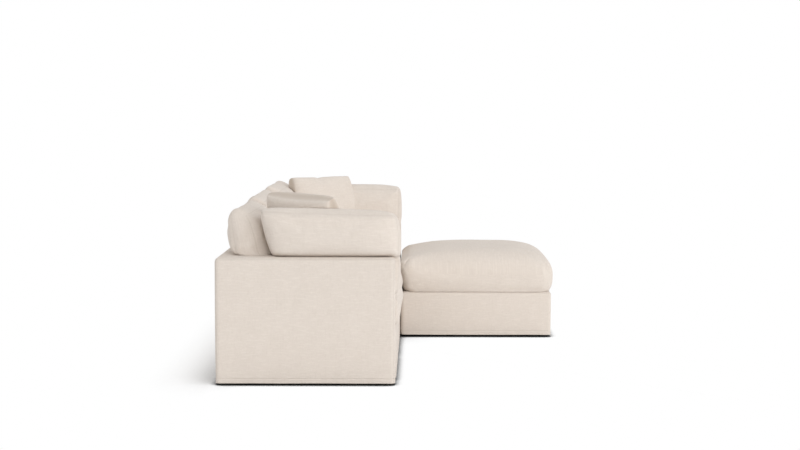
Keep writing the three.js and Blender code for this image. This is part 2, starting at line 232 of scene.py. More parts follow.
def window_light(name, comes_from, spread, strength):
    """Even light from a far, wide window: no fall-off over the sofa, and soft shadows."""
    lamp = bpy.data.lights.new(name, "SUN")
    lamp.angle = math.radians(spread)
    lamp.energy = strength
    stand = bpy.data.objects.new(name, lamp)
    stand.rotation_euler = Vector(comes_from).to_track_quat("Z", "Y").to_euler()
    scene.collection.objects.link(stand)


def fill_lamp(name, place, aimed_at, size, power):
    """A square softbox that lifts the shade on the seat fronts and the ottoman."""
    lamp = bpy.data.lights.new(name, "AREA")
    lamp.shape = "SQUARE"
    lamp.size = size
    lamp.energy = power
    stand = bpy.data.objects.new(name, lamp)
    stand.location = place
    aim = Vector(aimed_at) - Vector(place)
    stand.rotation_euler = aim.to_track_quat("-Z", "Y").to_euler()
    stand.visible_camera = False
    scene.collection.objects.link(stand)


window_light("front_window", comes_from=(-17.0, -11.5, 7.4), spread=40.0, strength=0.87)
fill_lamp("front_fill", (-3.2, -5.0, 2.0), aimed_at=(0.6, -0.6, 0.3), size=2.5, power=36.0)


# Seat frames: softwood rails and cross rails, glued and screwed, with a block in each corner that
# takes a foot. The grain runs level round the rails.
pale_wood = (0.60, 0.41, 0.22, 1.0)
dark_wood = (0.42, 0.25, 0.12, 1.0)
module_names = ("left", "middle", "right")
group_names = (*module_names, "ottoman")
bump_height = 0.001


def new_finish(name, paint, constants=None):
    """A finish. paint takes a strand and gives the colour, roughness and relief in millimetres."""
    made = bpy.data.materials.new(name)
    made.use_nodes = True
    shader = made.node_tree.nodes["Principled BSDF"]
    for socket, value in (constants or {}).items():
        shader.inputs[socket].default_value = value
    start = Strand(made.node_tree)
    colour, roughness, relief = paint(start)
    relief_sockets = {"Strength": 1.0, "Distance": bump_height, "Height": relief}
    start.tie(colour, shader.inputs["Base Color"])
    start.tie(roughness, shader.inputs["Roughness"])
    start.tie(start.node("ShaderNodeBump", {}, relief_sockets), shader.inputs["Normal"])
    return made


def dress(nodes, material):
    """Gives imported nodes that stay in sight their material."""
    for node in nodes:
        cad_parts[node].material_slots[0].material = material


def sawn_pine(start):
    place = start.place()
    grain = place.fibres((5.0, 5.0, 130.0), 4.0, 0.6)
    growth = place.fibres((2.0, 2.0, 26.0), 2.0)
    streak = (grain * 0.6 + growth * 0.5).ramp(0.35, 0.75)
    fuzz = place.fibres((700.0, 700.0, 900.0), 1.0)
    return streak.mixed(pale_wood, dark_wood), 0.62 + 0.2 * fuzz, grain * 0.3 + fuzz * 0.08


dress([f"{group}_seat_frame" for group in group_names], new_finish("sawn_pine", sawn_pine))


# Webbing and deck pads: woven elastic straps stapled over each frame, and a sheet of cream foam
# on them. Foam also wraps the boards inside every upright panel.
strap_colours = ((0.36, 0.29, 0.19, 1.0), (0.17, 0.13, 0.09, 1.0))
strap_rib = 0.004
foam_colours = ((0.82, 0.74, 0.55, 1.0), (0.70, 0.60, 0.40, 1.0))


def woven_strap(start):
    place = start.place()
    weave = (place.part(0).wave(strap_rib) * place.part(1).wave(strap_rib) + 1.0) * 0.5
    wear = place.fibres((60.0, 60.0, 60.0), 3.0)
    colour = (weave * 0.5 + wear * 0.5).ramp(0.2, 0.8).mixed(*strap_colours)
    return colour, 0.75 + 0.2 * wear, weave * 0.35


def cut_foam(start):
    place = start.place()
    cells = place.fibres((850.0, 850.0, 850.0), 2.0)
    age = place.fibres((7.0, 7.0, 7.0), 2.0)
    colour = (cells * 0.35 + age * 0.65).ramp(0.3, 0.8).mixed(*foam_colours)
    return colour, 0.9 + 0.1 * cells, cells * 0.5


dress([f"{group}_webbing" for group in group_names], new_finish("woven_strap", woven_strap))
foam = new_finish("cut_foam", cut_foam)
dress([f"{group}_deck_pad" for group in group_names], foam)
dress([f"{name}_back_panel_core" for name in module_names], foam)
dress([f"{name}_side_panel_core" for name in ("left", "right")], foam)


# Dust covers: thin black spun cloth stapled under each frame, and the two zinc-plated steel straps
# that dip under the hems and screw up into neighbouring frames to hold the modules together.
spun_black = ((0.020, 0.019, 0.018, 1.0), (0.055, 0.052, 0.048, 1.0))
zinc_colours = ((0.55, 0.56, 0.57, 1.0), (0.70, 0.70, 0.69, 1.0))
clip_thickness = 0.0025
clip_screw_radius = 0.0045
clip_screw_height = 0.0022
clip_screw_sink = 0.0002
clip_screw_sides = 16
clip_screw_dome = 75
clip_screw_places = ((0.038, 0.035), (0.056, 0.035), (0.038, -0.035), (0.056, -0.035))


def spun_cloth(start):
    place = start.place()
    fibres = place.fibres((240.0, 900.0, 900.0), 3.0, 0.7)
    dimples = place.fibres((420.0, 420.0, 420.0), 0.0)
    colour = (fibres * 0.7 + dimples * 0.3).ramp(0.4, 0.7).mixed(*spun_black)
    return colour, 0.85 + 0.1 * fibres, dimples * 0.2


def plated_steel(start):
    place = start.place()
    spangle = place.fibres((120.0, 120.0, 120.0), 1.0)
    rolled = place.fibres((30.0, 900.0, 900.0), 2.0)
    return spangle.ramp(0.35, 0.65).mixed(*zinc_colours), 0.28 + 0.3 * rolled, rolled * 0.02


def new_piece(name, points, faces, material, body):
    """A smooth mesh piece in the row frame that rides on a body and takes the finish it is given."""
    mesh = bpy.data.meshes.new(name)
    mesh.from_pydata(np.asarray(points).tolist(), [], [list(map(int, face)) for face in faces])
    mesh.materials.append(material)
    mesh.shade_smooth()
    piece = bpy.data.objects.new(name, mesh)
    scene.collection.objects.link(piece)
    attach(piece, body)
    return piece


def turned(profile, centre, sides=40):
    """Points and faces of a solid turned round an upright axis, from (radius, height) pairs."""
    turn = np.linspace(0.0, 2 * math.pi, sides, endpoint=False)
    radius, height = np.array(profile).T
    ring = np.stack([np.outer(radius, np.cos(turn)), np.outer(radius, np.sin(turn)),
                     np.repeat(height[:, None], sides, 1)], -1)
    faces = []
    for level in range(len(profile) - 1):
        for step in range(sides):
            near, far = level * sides + step, level * sides + (step + 1) % sides
            faces.append((near, far, far + sides, near + sides))
    faces.append(tuple(range(sides))[::-1])
    faces.append(tuple(range((len(profile) - 1) * sides, len(profile) * sides)))
    return ring.reshape(-1, 3) + np.array(centre), faces


def arc_of(centre, radius, start, end, steps=5):
    """(radius, height) pairs on an arc, from one angle to the other in degrees."""
    angles = np.radians(np.linspace(start, end, steps))
    return [(centre[0] + radius * math.cos(a), centre[1] + radius * math.sin(a)) for a in angles]


dress([f"{group}_dust_cover" for group in group_names], new_finish("spun_cloth", spun_cloth))
zinc = new_finish("plated_steel", plated_steel, {"Metallic": 1.0})
for side in ("left", "right"):
    clip = f"{side}_module_clip"
    dress([clip], zinc)
    clip_low, clip_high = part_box(clip)
    clip_middle = (clip_low + clip_high) / 2
    strap_bottom = clip_high.z - clip_thickness
    dome_centre = (0.0, strap_bottom - clip_screw_sink)
    dome = arc_of(dome_centre, clip_screw_radius, 0, clip_screw_dome)
    head = [(r, strap_bottom - (h - strap_bottom) * clip_screw_height / clip_screw_radius)
            for r, h in dome]
    screws = [(way * x, y) for x, y in clip_screw_places for way in (-1, 1)]
    for number, (x, y) in enumerate(screws, 1):
        place = (clip_middle.x + x, clip_middle.y + y, 0.0)
        points, faces = turned(head[::-1], place, clip_screw_sides)
        new_piece(f"{side}_clip_screw_{number}", points, faces, zinc, "sofa_frame")


# Glides: black moulded discs nailed up into the corner blocks. They lift the hems clear of the
# floor, have a rounded shoulder and a hollow ring on the side, and a scuffed flat foot.
glide_colours = ((0.012, 0.011, 0.011, 1.0), (0.045, 0.042, 0.040, 1.0))
glide_taper = 0.003
glide_shoulder = 0.004
glide_groove = 0.0014
glide_groove_reach = 0.003
glide_groove_steps = 7


def moulded_plastic(start):
    place = start.place()
    scuffs = place.fibres((260.0, 60.0, 200.0), 3.0, 0.6)
    grain = place.fibres((1600.0, 1600.0, 1600.0), 0.0)
    colour = scuffs.ramp(0.45, 0.8).mixed(*glide_colours)
    return colour, 0.38 + 0.3 * scuffs, grain * 0.06 + scuffs * 0.04


black_plastic = new_finish("moulded_plastic", moulded_plastic)
for group in group_names:
    body = "ottoman_base" if group == "ottoman" else "sofa_frame"
    for number in range(1, 5):
        foot = f"{group}_foot_{number}"
        low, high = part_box(foot)
        radius = (high.y - low.y) / 2
        edge = glide_shoulder / 2
        foot_edge = arc_of((radius - glide_taper - edge, edge), edge, -90, 0)
        groove = [(radius - glide_taper / 2 - glide_groove * math.sin(a),
                   high.z / 2 + glide_groove_reach * (a / math.pi * 2 - 1))
                  for a in np.linspace(0, math.pi, glide_groove_steps)]
        shoulder = arc_of((radius - glide_shoulder, high.z - glide_shoulder), glide_shoulder, 0, 90)
        centre = ((low.x + high.x) / 2, (low.y + high.y) / 2, 0.0)
        points, faces = turned([*foot_edge, *groove, *shoulder], centre)
        glide = new_piece(f"{group}_glide_{number}", points, faces, black_plastic, body)
        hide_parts(foot)


# Slipcovers of the seat bases and the upright panels: one heavy oatmeal linen with uneven, slubby
# yarns, sewn with plain seams, lined, and dropped loose over the padded frames down to a turned hem
# just clear of the floor. The linen's own coordinates are metres along and across each cut panel.
linen_pale = (0.810, 0.733, 0.661, 1.0)
linen_mid = (0.712, 0.634, 0.562, 1.0)
linen_dark = (0.560, 0.475, 0.395, 1.0)
linen_sheen = {"Sheen Weight": 0.12, "Sheen Roughness": 0.5}
yarn_pitch = 0.0022
yarn_drift = 0.0012
seam_reach = 0.0045
pucker_reach = 0.030
pucker_rate = 42.0
# How dark the seams of each kind of case are painted, with the shade and dust of their grooves.
cover_seam_shade_and_dust = 0.22
cover_radius = 0.025
base_radius = 0.018
cover_spacing = 0.018
cover_slack = 0.0022
slack_rate = 4.0
slack_height = 0.26
fold_rate = 7.0
fold_stretch = 0.25
hem_depth = 0.026
hem_lines = (0.0, 0.004, 0.014, 0.022, 0.026, 0.030)
hem_slack = 0.0030
hem_wave = 0.0020
hem_wave_rate = 5.0
hem_bead = 0.0008
hem_bead_rise = 0.004
hem_bead_at_foot = 0.2
hem_drop = 0.0035
panel_hem_drop = 0.0064
lining_thickness = 0.0035
cover_puff = {"left": -0.003, "middle": -0.003, "right": -0.0025, "ottoman": 0.0075}
puff_squareness = {"ends": 30.0, "top": 6.0}
cover_seeds = {"base": 10, "back": 20, "side": 30}
open_side = 4


def gathered_seam(along, away):
    """The gathers of a seam: they vary along it and hardly change away from it."""
    place = along.node("ShaderNodeCombineXYZ", {}, {0: along, 1: away})
    return place.fibres((pucker_rate, pucker_rate / 6, 1.0), 2.0) - 0.5


def near_seam(away, reach):
    """1 on a seam, falling to 0 at that reach from it."""
    return (1.0 - away * (1.0 / reach)).clamped() ** 2.0


def slub_linen(start, seam_shade_and_dust):
    cloth = start.node("ShaderNodeUVMap", {"uv_map": "cloth"})
    sewn = start.node("ShaderNodeUVMap", {"uv_map": "sewn"})
    along, away = sewn.part(0), sewn.part(1)
    drift = cloth.fibres((90.0, 90.0, 1.0), 1.0) * yarn_drift
    weft = (cloth.part(0) + drift).wave(yarn_pitch)
    warp = (cloth.part(1) + drift).wave(yarn_pitch)
    weave = weft * warp
    slub_across = cloth.fibres((26.0, 330.0, 1.0), 3.0, 0.55).ramp(0.52, 0.70)
    slub_up = cloth.fibres((330.0, 30.0, 1.0), 3.0, 0.55).ramp(0.54, 0.72)
    thin_yarn = cloth.fibres((60.0, 420.0, 1.0), 2.0).ramp(0.50, 0.74)
    fleck = cloth.fibres((520.0, 520.0, 1.0), 2.0, 0.6)
    dye = cloth.fibres((11.0, 11.0, 1.0), 3.0)
    patch = cloth.fibres((60.0, 75.0, 1.0), 2.0)
    long_slub = cloth.fibres((20.0, 95.0, 1.0), 2.0, 0.6).ramp(0.50, 0.66)
    long_rise = cloth.fibres((95.0, 22.0, 1.0), 2.0, 0.6).ramp(0.52, 0.68)
    tone = (
        0.46 + 0.64 * (fleck - 0.5) + 0.40 * (dye - 0.5) + 0.30 * (patch - 0.5)
        - 0.30 * slub_across - 0.22 * slub_up - 0.30 * long_slub
        + 0.20 * long_rise + 0.20 * thin_yarn - 0.10 * weave
    ).clamped()
    base = tone.mixed(linen_pale, linen_mid)
    depth = (slub_across * thin_yarn * 0.22 + fleck.ramp(0.60, 0.80) * 0.30).clamped()
    # Painted shade and dust: the colour darkens along each seam, as shade and dust gather in its
    # groove. The same seam mask sinks the groove in the relief.
    seam = near_seam(away, seam_reach)
    colour = (depth + seam * seam_shade_and_dust).clamped().mixed(base, linen_dark)
    gathers = gathered_seam(along, away) * near_seam(away, pucker_reach)
    yarns = 0.22 * weave + 0.45 * slub_across + 0.35 * slub_up + 0.25 * fleck
    return colour, 0.93 - 0.12 * slub_across, yarns - 1.3 * seam + 1.6 * gathers


def new_linen(name, seam_shade_and_dust):
    """The linen as it is sewn into one kind of case, with seams painted more or less dark with the
    shade and dust of their grooves.
    """
    return new_finish(name, lambda start: slub_linen(start, seam_shade_and_dust), linen_sheen)


def ruled(low, high, radius, spacing, soft_start=True, arcs=4):
    """Places of mesh lines from low to high: even, and fanned out on the round edges."""
    fan = radius * (1.0 - np.tan(np.linspace(math.pi / 4, 0.0, arcs + 1)))
    start = low + fan if soft_start else np.array([low])
    end = high - fan[::-1]
    count = max(1, math.ceil((end[0] - start[-1]) / spacing))
    return np.concatenate([start, np.linspace(start[-1], end[0], count + 1)[1:-1], end])


def skin(lines, seams):
    """The outside of a block ruled by three sets of lines.

    It comes as points, quads, the side that each quad is on, from 0 to 5 with 4 below, and two
    coordinates for each corner of each quad: its place on its panel of cloth, and how far it is
    along and away from the nearest seam. A seam is an axis and the place on it where the seam
    runs round the block. One at the block's end runs round the edges of the face there.
    """
    shape = [len(line) for line in lines]
    outer = np.ones(shape, bool)
    outer[1:-1, 1:-1, 1:-1] = False
    number = -np.ones(shape, int)
    number[outer] = np.arange(outer.sum())
    points = np.stack(np.meshgrid(*lines, indexing="ij"), -1)[outer]
    quads, sides, cloth, sewn = [], [], [], []
    for axis in range(3):
        across = [a for a in range(3) if a != axis]
        for end in (0, -1):
            grid = np.take(number, end, axis)
            loop = (grid[:-1, :-1], grid[1:, :-1], grid[1:, 1:], grid[:-1, 1:])
            corner = np.stack(loop, -1).reshape(-1, 4)
            if (end == 0) != (axis == 1):
                corner = corner[:, ::-1]
            place = points[corner]
            nearest = np.stack([place[..., across[0]], np.full(corner.shape, 1.0)], -1)
            for seam_axis, seam_place in seams:
                if seam_axis == axis and seam_place != lines[axis][end]:
                    continue
                for run in across if seam_axis == axis else [seam_axis]:
                    away = np.abs(place[..., run] - seam_place)
                    if seam_axis == axis:
                        to_start = place[..., run] - lines[run][0]
                        away = np.minimum(to_start, lines[run][-1] - place[..., run])
                    along = place[..., ({0, 1, 2} - {axis, run}).pop()]
                    closer = (away < nearest[..., 1])[..., None]
                    nearest = np.where(closer, np.stack([along, away], -1), nearest)
            quads.append(corner)
            sides.append(np.full(len(corner), 2 * axis + (end != 0)))
            cloth.append(place[..., across])
            sewn.append(nearest)
    return points, *(np.concatenate(part) for part in (quads, sides, cloth, sewn))


def softened(points, low, high, radii, soft_foot=True):
    """Draws the outside of a block in onto its rounded edges, each direction with its radius."""
    inner = np.minimum(np.maximum(points, low + radii), high - radii)
    if not soft_foot:
        inner[:, 2] = np.minimum(points[:, 2], (high - radii)[2])
    reach = (points - inner) / radii
    length = np.linalg.norm(reach, axis=1, keepdims=True)
    share = np.abs(reach).max(axis=1, keepdims=True) / np.maximum(length, 1e-9)
    return inner + reach * share * radii


def outward(points, quads):
    """A unit direction out of the surface at each point."""
    corners = points[quads]
    normals = np.cross(corners[:, 2] - corners[:, 0], corners[:, 3] - corners[:, 1])
    total = np.zeros_like(points)
    for column in range(4):
        np.add.at(total, quads[:, column], normals)
    return total / np.maximum(np.linalg.norm(total, axis=1, keepdims=True), 1e-12)


def uneven(points, rate, seed):
    """A smooth noise from -1 to 1 at each point. rate is how many lumps there are in a metre."""
    shift = Vector((seed * 7.31, seed * 3.77, seed * 5.13))
    return np.array([noise.noise(Vector(point) * rate + shift) for point in points])


def full(t, squareness=3.4, power=0.5):
    """A crown from 0 at the seams to 1 in the middle. Squarer ones rise faster from the seams."""
    return np.maximum(0.0, 1.0 - np.abs(t) ** squareness) ** power


def sewn_piece(name, points, quads, cloth, sewn, material, body):
    """A piece of sewn cloth, with the coordinates that its weave and seams follow."""
    kept, numbers = np.unique(quads, return_inverse=True)
    piece = new_piece(name, points[kept], numbers.reshape(quads.shape), material, body)
    for layer, values in (("cloth", cloth), ("sewn", sewn)):
        spread = piece.data.uv_layers.new(name=layer)
        spread.data.foreach_set("uv", values.reshape(-1).astype(np.float32))
    return piece


def slipcover(node, boxing, radius, body, seed, drop=hem_drop, puff=0.0):
    """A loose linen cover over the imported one: a rounded block, open below, slack at its hem.

    boxing is the axis whose two faces the seams run round. A puffed cover stands out a little in
    front or behind, where the seat cushions' weight fills it.
    """
    low, high = (np.array(corner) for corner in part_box(node))
    low[2] -= drop
    lines = [ruled(low[a], high[a], radius, cover_spacing) for a in (0, 1)]
    rise = ruled(low[2] + hem_lines[-1], high[2], radius, cover_spacing, soft_start=False)
    lines.append(np.concatenate([low[2] + np.array(hem_lines[:-1]), rise]))
    seams = [(boxing, low[boxing]), (boxing, high[boxing]), (2, low[2] + hem_depth)]
    if boxing == 2:
        seams = seams[1:]
    points, quads, side, cloth, sewn = skin(lines, seams)
    shaped = softened(points, low, high, np.full(3, radius), soft_foot=False)
    facing = outward(shaped, quads)
    level = np.hypot(facing[:, 0], facing[:, 1])[:, None]
    height = shaped[:, 2] - low[2]
    u, w = ((2 * shaped[:, a] - low[a] - high[a]) / (high[a] - low[a]) for a in (0, 2))
    filled = np.clip(facing[:, 1] * np.sign(puff), 0.0, 1.0) * full(u, puff_squareness["ends"])
    filled = filled * full(np.maximum(w, 0.0), puff_squareness["top"])
    slack = np.clip(1.0 - height / slack_height, 0.0, 1.0) ** 2
    folds = uneven(shaped * (1.0, 1.0, fold_stretch), fold_rate, seed)
    loose = cover_slack * (0.5 + 0.5 * uneven(shaped, slack_rate, seed + 1))
    inward = loose + hem_slack * slack * (0.5 + 0.5 * folds)
    shaped = shaped - facing * (inward * (1.0 - filled))[:, None] * level
    shaped[:, 1] += puff * filled
    hem = (height < hem_depth) * np.clip(height / hem_bead_rise + hem_bead_at_foot, 0.0, 1.0)
    shaped = shaped + facing * (hem_bead * hem * (1.0 - filled))[:, None] * level
    wave = uneven(shaped * (1.0, 1.0, 0.0), hem_wave_rate, seed + 2)
    shaped[:, 2] += hem_wave * slack * (0.5 + 0.5 * wave)
    used = side != open_side
    piece = sewn_piece(node.replace("_cover", "_slipcover"), shaped, quads[used], cloth[used],
                       sewn[used], cover_linen, body)
    lining = piece.modifiers.new("lining", "SOLIDIFY")
    lining.thickness = lining_thickness
    lining.offset = -1.0
    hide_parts(node)


cover_linen = new_linen("cover_linen", cover_seam_shade_and_dust)
for number, group in enumerate(group_names):
    body = "ottoman_base" if group == "ottoman" else "sofa_frame"
    slipcover(f"{group}_base_cover", 2, base_radius, body, cover_seeds["base"] + number,
              puff=cover_puff[group])
for number, name in enumerate(module_names):
    slipcover(f"{name}_back_panel_cover", 1, cover_radius, "sofa_frame",
              cover_seeds["back"] + number)
for number, name in enumerate(("left", "right")):
    slipcover(f"{name}_side_panel_cover", 0, cover_radius, "sofa_frame",
              cover_seeds["side"] + number, panel_hem_drop)


# Seat cushions: foam wrapped in feather and wadding, in a linen case of two crowned faces and a
# boxing band between them. They lie loose on the decks, swell over the front of the bases, and
# are flat only where they lie on the deck and where the back and side cushions stand on them.
seat_boxing = 0.165
seat_radii = (0.040, 0.034, 0.034)
seat_crown = 0.078
seat_crown_squareness = (3.0, 3.4)
seat_crown_power = 0.3
seat_draw = 0.007
seat_swell = {"left": 0.024, "middle": 0.013, "right": 0.0}
seat_swell_squareness = (6.0, 4.0)
seat_swell_at_ends = 0.4
seat_seed = 40
side_of = {"left": -1, "middle": 0, "right": 1}
back_boxing = 0.137
side_boxing = 0.130
contact = 0.0003
cushion_spacing = 0.014
# How dark the cushion seams are painted, with the shade and dust of their grooves.
cushion_seam_shade_and_dust = 0.34
lump_height = 0.0028
lump_rate = 6.5
touch = 0.002
ledge_fold = 0.003
case_cloth = {
    "quality": 5, "mass": 0.4, "tension_stiffness": 40.0, "compression_stiffness": 40.0,
    "shear_stiffness": 15.0, "bending_stiffness": 2.0, "use_pressure": True,
    "uniform_pressure_force": 6.0, "vertex_group_mass": "held",
    "vertex_group_shrink": "gathered", "shrink_min": 0.0, "shrink_max": 0.010,
}
settling_frames = 20
gather_reach = 0.016
longest_move = 0.011
cushion_linen = new_linen("cushion_linen", cushion_seam_shade_and_dust)
cushion_points = {}


def hump(t):
    """A low arch from 0 at the ends to 1 in the middle."""
    return np.maximum(0.0, 1.0 - t * t)


def pressed_out(points, quads, gathered, held):
    """The case as its filling presses it from inside: cloth that is a little loose between seams
    that the thread has drawn in. Points that rest on something stay held."""
    case = bpy.data.meshes.new("case")
    case.from_pydata(points.tolist(), [], quads.tolist())
    form = bpy.data.objects.new("case", case)
    scene.collection.objects.link(form)
    for group, weights in (("gathered", gathered), ("held", held)):
        marked = form.vertex_groups.new(name=group)
        for number in np.nonzero(weights)[0].tolist():
            marked.add([number], float(weights[number]), "REPLACE")
    cloth = form.modifiers.new("cloth", "CLOTH")
    for setting, value in case_cloth.items():
        setattr(cloth.settings, setting, value)
    cloth.settings.effector_weights.gravity = 0.0
    cloth.collision_settings.use_collision = False
    for frame_number in range(1, settling_frames + 1):
        scene.frame_set(frame_number)
    settled = form.evaluated_get(bpy.context.evaluated_depsgraph_get()).data
    found = np.empty(len(points) * 3)
    settled.vertices.foreach_get("co", found)
    bpy.data.objects.remove(form)
    bpy.data.meshes.remove(case)
    moves = found.reshape(-1, 3) - points
    length = np.linalg.norm(moves, axis=1, keepdims=True)
    return points + moves * np.minimum(1.0, longest_move / np.maximum(length, 1e-9))


def filled_case(name, node, points, quads, cloth, sewn, material, body, seed, clear):
    """A sewn case over its filling: a little uneven, and pressed out from inside.

    clear moves points off what the case rests on.
    """
    facing = outward(points, quads)
    if np.einsum("ij,ij->", points - points.mean(0), facing) < 0:
        quads, cloth, sewn = quads[:, ::-1], cloth[:, ::-1], sewn[:, ::-1]
        facing = -facing
    touched = points + facing * touch
    resting = np.linalg.norm(clear(touched.copy()) - touched, axis=1) > touch / 4
    lumps = lump_height * uneven(points, lump_rate, seed) * ~resting
    shaped = clear(points + facing * lumps[:, None])
    away = np.full(len(points), 1.0)
    np.minimum.at(away, quads.reshape(-1), sewn[..., 1].reshape(-1))
    gathered = np.clip(1.0 - away / gather_reach, 0.0, 1.0)
    shaped = clear(pressed_out(shaped, quads, gathered, resting))
    piece = sewn_piece(name, shaped, quads, cloth, sewn, material, body)
    rounding = piece.modifiers.new("rounding", "SUBSURF")
    rounding.levels = rounding.render_levels = 1
    cushion_points[name] = (shaped, quads)
    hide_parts(node)


def cushion(node, low, high, radii, seams, shape, place, body, seed, clear, ledge=None):
    """A block cushion that is ruled, rounded, shaped and set in its place, then filled. One that
    leans over a ledge has two mesh lines close together there."""
    low, high, radii = np.array(low), np.array(high), np.array(radii)
    lines = [ruled(low[a], high[a], radii[a], cushion_spacing) for a in range(3)]
    if ledge:
        above = np.searchsorted(lines[1], ledge)
        lines[1][above - 1:above + 1] = ledge - ledge_fold, ledge
    points, quads, _, cloth, sewn = skin(lines, seams)
    soft = softened(points, low, high, radii)
    u, v, w = ((2 * soft - low - high) / (high - low)).T
    shaped = place(shape(soft, u, v, w))
    filled_case(f"{node}_case", node, shaped, quads, cloth, sewn, cushion_linen, body,
                seed, clear)


def module_frame(name):
    """The middle of a module's front plane, its half width, its seat depth and its deck height."""
    base_low, base_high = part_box(f"{name}_base_cover")
    panel_low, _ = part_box(f"{name}_back_panel_cover")
    origin = np.array([(base_low.x + base_high.x) / 2, base_low.y - contact / 2, 0.0])
    half_width = (base_high.x - base_low.x) / 2 + contact / 2
    depth = panel_low.y - contact / 2 - origin[1]
    return origin, half_width, depth, base_high.z


for number, name in enumerate(module_names):
    side = side_of[name]
    origin, half_width, depth, deck = module_frame(name)
    half = half_width - contact
    deck += contact
    low, high = (-half, 0.0, deck), (half, depth - contact, deck + seat_boxing)
    open_start = -half + (side_boxing if side < 0 else 0.0)
    open_stop = half - (side_boxing if side > 0 else 0.0)
    open_depth = depth - back_boxing

    def seat_shape(soft, u, v, w, start=open_start, stop=open_stop, swell=seat_swell[name]):
        """Crowned over the part of the seat that no other cushion stands on."""
        x, y, z = soft.T
        a = (2 * x - (start + stop)) / (stop - start)
        b = (2 * y - open_depth) / open_depth
        crown = full(a, seat_crown_squareness[0])
        crown = seat_crown * crown * full(b, seat_crown_squareness[1], seat_crown_power)
        ends = seat_swell_at_ends + (1 - seat_swell_at_ends) * full(u, seat_swell_squareness[0])
        front = swell * v * v * full(w, seat_swell_squareness[1]) * ends
        forward = np.where(v < 0, front, 0.0)
        return np.stack(
            [x - seat_draw * u * hump(v), y - forward, z + crown * np.maximum(0.0, w)], -1
        )

    def in_place(points, origin=origin):
        return points + origin

    def on_deck(points, low=low, high=high, origin=origin):
        """Kept on the deck, inside the module, and level under the cushions that stand on it."""
        local = points - origin
        local[:, 0] = np.clip(local[:, 0], low[0], high[0])
        local[:, 1] = np.minimum(local[:, 1], high[1])
        local[:, 2] = np.maximum(local[:, 2], low[2])
        return local + origin

    cushion(f"{name}_seat_cushion", low, high, seat_radii, [(2, low[2]), (2, high[2])],
            seat_shape, in_place, f"{name}_seat", seat_seed + number, on_deck)


# Back cushions: cases like the seat's, filled with feather and fibre. They stand on the seat
# cushions and lean back over the top of the back panels, so each bulges forward over the seat,
# rests on the panel's top edge behind, and sags a little between its corners.
back_top = 0.908
back_radii = (0.028, 0.082, 0.060)
back_front_crown = 0.092
back_rear_crown = 0.030
back_rear_reach = 0.031
back_top_swell = {"left": 0.006, "middle": 0.024, "right": 0.044}
back_lean = {"rear": 0.060, "front": 0.167}
back_upright = {"left": 0.002, "middle": 0.006, "right": 0.026}
back_end_swell = 0.026
back_slim_end = -0.006
back_squareness = (12.0, 4.0)
back_ledge_round = 0.002
back_seed = 50
end_squareness = 8.0
top_squareness = 14.0
panel_rest_radius = 0.025
panel_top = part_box("left_back_panel_cover")[1].z + contact
below_floor = -1.0
cushion_gap = 0.0006
cushion_search = 0.09


def leaning_shape(form):
    """The shape of a cushion that stands on the seat against a panel and leans over its top.

    Its own directions are along the panel, up, and out from the panel's inner face. It stands on
    its foot, bends back at the ledge, which is the panel's top, and rounds the edge there.
    """
    def shape(soft, u, v, w):
        along, up, out = soft.T
        front, behind = np.maximum(0.0, w), np.maximum(0.0, -w)
        near = (1 + w) / 2
        height = (up - form.foot) / (form.top - form.foot)
        over = np.clip((up - form.ledge) / (form.top - form.ledge), 0.0, 1.0)
        past = np.clip((up - form.ledge) / ledge_fold + 1.0, 0.0, 1.0)
        bulge = full(u, form.squareness[0])
        inner = form.inner_crown * bulge * full(v, form.squareness[1]) * front
        outer = form.outer_crown * bulge * full(2 * over - 1, form.outer_squareness) * behind
        ends = form.end_reach + (1 - form.end_reach) * full(u, end_squareness)
        reach = (form.outer_reach + form.outer_lean * height) * ends
        under = np.clip(1.0 - (up - form.ledge) / form.ledge_round, 0.0, 1.0)
        round_edge = form.ledge_round * (1.0 - np.sqrt(1.0 - under * under)) * behind
        back = (reach * (1 - near) + outer - round_edge) * past
        swell = np.where(u < 0, -form.start_swell, form.stop_swell) * u * u * full(v)
        rise = (form.top_swell * full(u, top_squareness) + form.top_tilt * u) * np.maximum(0.0, v)
        lean = form.inner_lean * height * near
        return np.stack([along + swell, up + rise, out + inner - lean - back], -1)
    return shape


def out_of_panel(points, low, high, axis, end):
    """Moves points inside a panel with rounded edges out to its inner face or its top. The inner
    face is at that end of that axis."""
    low, high = np.array(low) - contact, np.array(high) + contact
    inner = np.clip(points, low + panel_rest_radius, high - panel_rest_radius)
    reach = points - inner
    distance = np.linalg.norm(reach, axis=1)
    edge = (distance > 1e-9) & (distance < panel_rest_radius)
    points = points.copy()
    points[edge] = inner[edge] + reach[edge] * (panel_rest_radius / distance[edge])[:, None]
    buried = distance <= 1e-9
    face = (low, high)[end][axis]
    upward = buried & (high[2] - points[:, 2] < np.abs(points[:, axis] - face))
    points[upward, 2] = high[2]
    points[buried & ~upward, axis] = face
    return points


def off_panels(points):
    """Kept off the back run and both side panels, which it rests against or on."""
    back_low, back_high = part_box("left_back_panel_cover")[0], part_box("right_back_panel_cover")[1]
    left_low, left_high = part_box("left_side_panel_cover")
    right_low, right_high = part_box("right_side_panel_cover")
    run_low = (left_low.x, back_low.y, below_floor)
    run_high = (right_high.x, back_high.y, back_high.z)
    points = out_of_panel(points, run_low, run_high, axis=1, end=0)
    left_foot = (left_low.x, left_low.y, below_floor)
    points = out_of_panel(points, left_foot, left_high, axis=0, end=1)
    right_foot = (right_low.x, right_low.y, below_floor)
    return out_of_panel(points, right_foot, right_high, axis=0, end=0)


def off_cushion(points, name):
    """Moves points that are inside another cushion out to its surface."""
    case, quads = cushion_points[name]
    tree = BVHTree.FromPolygons(case.tolist(), quads.tolist())
    for number, point in enumerate(points):
        near, normal, _, distance = tree.find_nearest(Vector(point), cushion_search)
        if near is not None and (Vector(point) - near).dot(normal) < cushion_gap:
            points[number] = near + normal * cushion_gap
    return points


